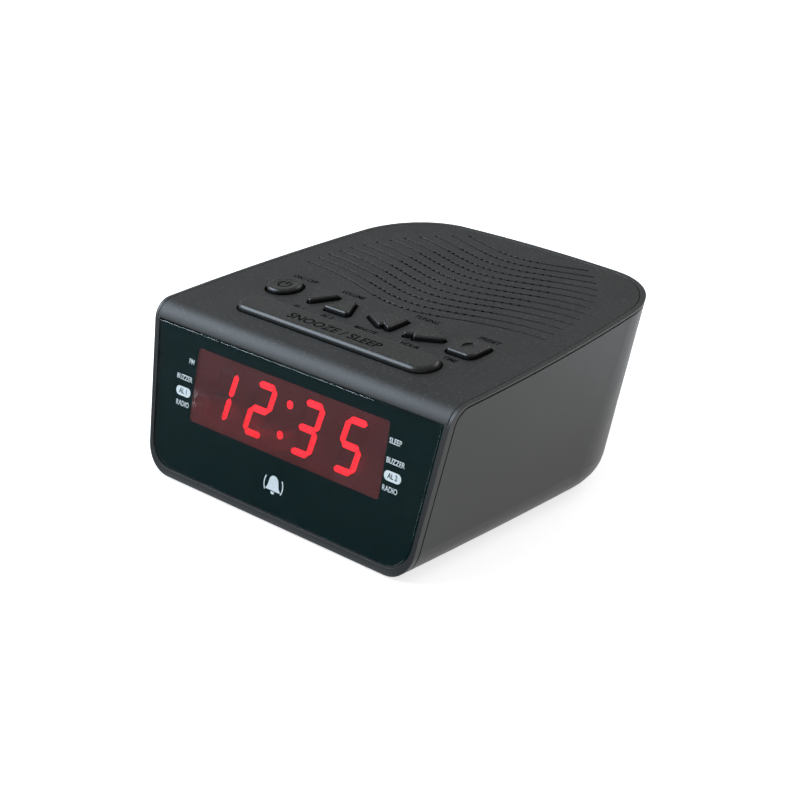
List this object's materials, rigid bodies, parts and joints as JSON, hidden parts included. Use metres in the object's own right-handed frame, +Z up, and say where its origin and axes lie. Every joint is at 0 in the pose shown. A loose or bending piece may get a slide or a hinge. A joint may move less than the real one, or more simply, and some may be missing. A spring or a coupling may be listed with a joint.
{
  "type": "clock radio",
  "caption": "Small bedside clock radio with a drafted wedge case, sloping top with grille and keys, and a leaning front lens over a red LED time display.",
  "frame": {"origin": "middle of the bounding box, on the surface that the radio stands on", "axes": "+X right as seen from the front, +Y towards the back, +Z up; the display faces -Y"},
  "size_m": [0.1324, 0.1297, 0.0605],
  "materials": {
    "shell_plastic": "fine satin moulded ABS",
    "panel_plastic": "matt soft-touch moulded ABS",
    "key_plastic": "satin moulded ABS",
    "lens_acrylic": "back-printed gloss acrylic",
    "red_acrylic": "clear red film",
    "module_face": "dark red face",
    "lit_red": "lit red diffuser",
    "unlit_red": "unlit red diffuser",
    "circuit_board": "phenolic board",
    "screw_steel": "zinc plated",
    "switch_plastic": "black nylon",
    "pressed_steel": "plated sheet",
    "paper_cone": "coated paper",
    "ferrite": "sintered ferrite",
    "chip_epoxy": "moulded epoxy",
    "capacitor_sleeve": "shrink sleeve",
    "tinned_steel": "tinned",
    "copper_wire": "enamelled copper",
    "white_nylon": "natural nylon",
    "ribbon_lead": "grey ribbon",
    "rubber": "moulded rubber"
  },
  "bodies": {
    "case": {"aerial_coil": "copper_wire", "battery_contacts": "tinned_steel", "battery_springs": "tinned_steel", "cabinet_shell": "shell_plastic", "capacitors": "capacitor_sleeve", "case_screws": "screw_steel", "chips": "chip_epoxy", "cord_grommet": "rubber", "dark_segments": "unlit_red", "display_board": "circuit_board", "display_board_screws": "screw_steel", "display_lens": "lens_acrylic", "display_ribbon": "ribbon_lead", "ferrite_rod": "ferrite", "key_board": "circuit_board", "key_board_screws": "screw_steel", "key_ribbon": "ribbon_lead", "led_module": "module_face", "lit_segments": "lit_red", "main_board": "circuit_board", "main_board_screws": "screw_steel", "red_filter": "red_acrylic", "rim_frame": "shell_plastic", "rod_holders": "white_nylon", "rubber_feet": "rubber", "speaker_cone": "paper_cone", "speaker_dust_cap": "paper_cone", "speaker_frame": "pressed_steel", "speaker_magnet": "ferrite", "speaker_screws": "screw_steel", "tact_switches": "switch_plastic", "top_panel": "panel_plastic", "transformer_core": "pressed_steel", "transformer_ears": "tinned_steel", "transformer_screws": "screw_steel", "transformer_winding": "copper_wire", "tuner_cans": "tinned_steel"},
    "snooze_button": {"snooze_bar": "key_plastic", "snooze_plunger": "switch_plastic"},
    "power_button": {"power_key": "key_plastic", "power_plunger": "switch_plastic"},
    "down_button": {"down_key": "key_plastic", "down_plunger": "switch_plastic"},
    "up_button": {"up_key": "key_plastic", "up_plunger": "switch_plastic"},
    "left_button": {"left_key": "key_plastic", "left_plunger": "switch_plastic"},
    "right_button": {"right_key": "key_plastic", "right_plunger": "switch_plastic"},
    "preset_button": {"preset_key": "key_plastic", "preset_plunger": "switch_plastic"},
    "door": {"battery_door": "shell_plastic"}
  },
  "joints": [
    {"name": "snooze_press", "type": "slide", "parent": "case", "child": "snooze_button", "axis": [0, 0.0448, -0.999], "range_m": [0, 0.0005], "stiffness_N_per_m": 2500, "springref_m": -0.0002},
    {"name": "power_press", "type": "slide", "parent": "case", "child": "power_button", "axis": [0, 0.0448, -0.999], "range_m": [0, 0.0005], "stiffness_N_per_m": 1500, "springref_m": -0.0002},
    {"name": "down_press", "type": "slide", "parent": "case", "child": "down_button", "axis": [0, 0.0448, -0.999], "range_m": [0, 0.0005], "stiffness_N_per_m": 1500, "springref_m": -0.0002},
    {"name": "up_press", "type": "slide", "parent": "case", "child": "up_button", "axis": [0, 0.0448, -0.999], "range_m": [0, 0.0005], "stiffness_N_per_m": 1500, "springref_m": -0.0002},
    {"name": "left_press", "type": "slide", "parent": "case", "child": "left_button", "axis": [0, 0.0448, -0.999], "range_m": [0, 0.0005], "stiffness_N_per_m": 1500, "springref_m": -0.0002},
    {"name": "right_press", "type": "slide", "parent": "case", "child": "right_button", "axis": [0, 0.0448, -0.999], "range_m": [0, 0.0005], "stiffness_N_per_m": 1500, "springref_m": -0.0002},
    {"name": "preset_press", "type": "slide", "parent": "case", "child": "preset_button", "axis": [0, 0.0448, -0.999], "range_m": [0, 0.0005], "stiffness_N_per_m": 1500, "springref_m": -0.0002},
    {"name": "door_hinge", "type": "hinge", "parent": "case", "child": "door", "pos_m": [0.016, -0.0213, 0.00215], "axis": [-1, 0, 0], "range_deg": [0, 100]}
  ]
}
